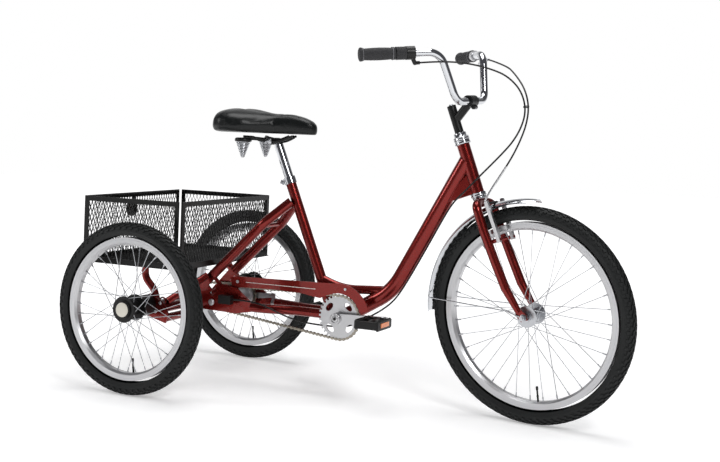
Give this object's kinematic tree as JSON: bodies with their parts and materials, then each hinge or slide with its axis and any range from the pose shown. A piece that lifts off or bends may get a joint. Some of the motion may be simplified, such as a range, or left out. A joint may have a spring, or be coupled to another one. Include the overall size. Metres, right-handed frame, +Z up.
{
  "type": "adult tricycle",
  "caption": "Three-wheeled pedal cycle with a low step-through frame, high-rise bars, sprung saddle, chain drive through a gear hub and a mesh cargo basket.",
  "frame": {"origin": "middle of the footprint on the floor", "axes": "+X forwards, +Y to the rider's left, +Z up"},
  "size_m": [1.6808, 0.746, 1.0495],
  "materials": {
    "frame_paint": "candy red metallic gloss",
    "chrome": "polished",
    "aluminium": "satin silver",
    "spoke_steel": "bright zinc",
    "black_metal": "satin black powder coat",
    "tyre_rubber": "moulded tread",
    "grip_rubber": "textured",
    "black_plastic": "moulded",
    "chain_steel": "oiled bronze tint",
    "saddle_cover": "stitched vinyl",
    "cable_housing": "black outer casing",
    "reflector": "dark red lens"
  },
  "bodies": {
    "frame": {"shift_cable": "cable_housing", "headset_cups": "chrome", "head_tube": "frame_paint", "down_tube": "frame_paint", "seat_tube": "frame_paint", "bottom_bracket_shell": "frame_paint", "chain_stays": "frame_paint", "seat_stays": "frame_paint", "hub_dropouts": "frame_paint", "rear_carrier": "frame_paint", "axle_housings": "black_metal", "basket_supports": "frame_paint", "seat_collar": "chrome", "front_chain": "chain_steel", "rear_chain": "chain_steel", "hub_axle": "spoke_steel", "shift_box": "black_plastic", "coaster_arm": "spoke_steel", "chainguard": "frame_paint", "basket_panels": "black_metal", "basket_floor": "black_metal", "rear_reflector": "reflector", "fasteners": "spoke_steel"},
    "steering": {"fork_crown": "frame_paint", "fork_blades": "frame_paint", "front_axle": "spoke_steel", "fender": "chrome", "stem": "black_metal", "handlebar": "chrome", "grips": "grip_rubber", "shifter_body": "black_plastic", "lever_mount": "aluminium", "brake_cable": "cable_housing"},
    "front_wheel": {"front_tyre": "tyre_rubber", "front_rim": "aluminium", "front_spokes": "spoke_steel", "front_hub": "aluminium"},
    "crankset": {"chainring": "aluminium", "crank_arms": "aluminium"},
    "right_pedal": {"pedal_right": "black_plastic"},
    "left_pedal": {"pedal_left": "black_plastic"},
    "gear_hub": {"gear_hub": "aluminium"},
    "drive_axle": {"rear_axle": "spoke_steel", "right_tyre": "tyre_rubber", "right_rim": "aluminium", "right_spokes": "spoke_steel", "right_hub": "black_metal"},
    "left_wheel": {"left_tyre": "tyre_rubber", "left_rim": "aluminium", "left_spokes": "spoke_steel", "left_hub": "black_metal"},
    "seat_post": {"seat_post": "chrome"},
    "saddle": {"saddle_rails": "black_metal", "saddle_base": "black_plastic", "saddle_pad": "saddle_cover", "saddle_springs": "chrome"},
    "brake_lever": {"brake_lever": "aluminium"},
    "left_brake_arm": {"brake_arm_left": "aluminium"},
    "right_brake_arm": {"brake_arm_right": "aluminium"},
    "twist_grip": {"shifter_grip": "grip_rubber"}
  },
  "joints": [
    {"name": "steering", "type": "hinge", "parent": "frame", "child": "steering", "pos_m": [0.36826, 0, 0.63295], "axis": [-0.346, 0, 0.9383], "range_deg": [-43, 57], "deforming": ["shift_cable"]},
    {"name": "front_wheel_spin", "type": "hinge", "parent": "steering", "child": "front_wheel", "pos_m": [0.53875, -0.00564, 0.30338], "axis": [0.1143, 0.9925, 0.0422], "continuous": true},
    {"name": "crank_spin", "type": "hinge", "parent": "frame", "child": "crankset", "pos_m": [-0.03593, 0, 0.243], "axis": [0, 1, 0], "continuous": true},
    {"name": "right_pedal_spin", "type": "hinge", "parent": "crankset", "child": "right_pedal", "pos_m": [0.1157, -0.135, 0.2536], "axis": [0, 1, 0], "continuous": true},
    {"name": "left_pedal_spin", "type": "hinge", "parent": "crankset", "child": "left_pedal", "pos_m": [-0.18756, 0.135, 0.2324], "axis": [0, 1, 0], "continuous": true},
    {"name": "gear_hub_spin", "type": "hinge", "parent": "frame", "child": "gear_hub", "pos_m": [-0.41563, 0, 0.263], "axis": [0, 1, 0], "continuous": true},
    {"name": "drive_axle_spin", "type": "hinge", "parent": "frame", "child": "drive_axle", "pos_m": [-0.58042, 0, 0.253], "axis": [0, 1, 0], "continuous": true},
    {"name": "left_wheel_spin", "type": "hinge", "parent": "frame", "child": "left_wheel", "pos_m": [-0.58042, 0.338, 0.253], "axis": [0, 1, 0], "continuous": true},
    {"name": "seat_height", "type": "slide", "parent": "frame", "child": "seat_post", "axis": [-0.3811, 0, 0.9245], "range_m": [-0.05, 0.05]},
    {"name": "saddle_tilt", "type": "hinge", "parent": "seat_post", "child": "saddle", "pos_m": [-0.30769, 0, 0.75425], "axis": [0, 1, 0], "range_deg": [-8, 10]},
    {"name": "brake_lever", "type": "hinge", "parent": "steering", "child": "brake_lever", "pos_m": [0.29736, 0.2008, 1.02296], "axis": [0.277, 0.2368, 0.9312], "range_deg": [0, 15], "stiffness_Nm_per_rad": 0.6, "springref_deg": -11.46},
    {"name": "left_brake_arm_swing", "type": "hinge", "parent": "steering", "child": "left_brake_arm", "pos_m": [0.46256, 0.03855, 0.51318], "axis": [0.9313, -0.1219, 0.3434], "range_deg": [0, 4]},
    {"name": "right_brake_arm_swing", "type": "hinge", "parent": "steering", "child": "right_brake_arm", "pos_m": [0.4525, -0.04879, 0.50947], "axis": [0.9313, -0.1219, 0.3434], "range_deg": [-4, 0]},
    {"name": "twist_shift", "type": "hinge", "parent": "steering", "child": "twist_grip", "pos_m": [0.20796, -0.21005, 1.01558], "axis": [0.7782, 0.6232, 0.0772], "range_deg": [0, 60]}
  ],
  "couplings": [
    {"joint": "gear_hub_spin", "follows": "crank_spin", "ratio": 1.6},
    {"joint": "drive_axle_spin", "follows": "crank_spin", "ratio": 1.6},
    {"joint": "left_brake_arm_swing", "follows": "brake_lever", "ratio": 0.26667},
    {"joint": "right_brake_arm_swing", "follows": "brake_lever", "ratio": -0.26667}
  ]
}
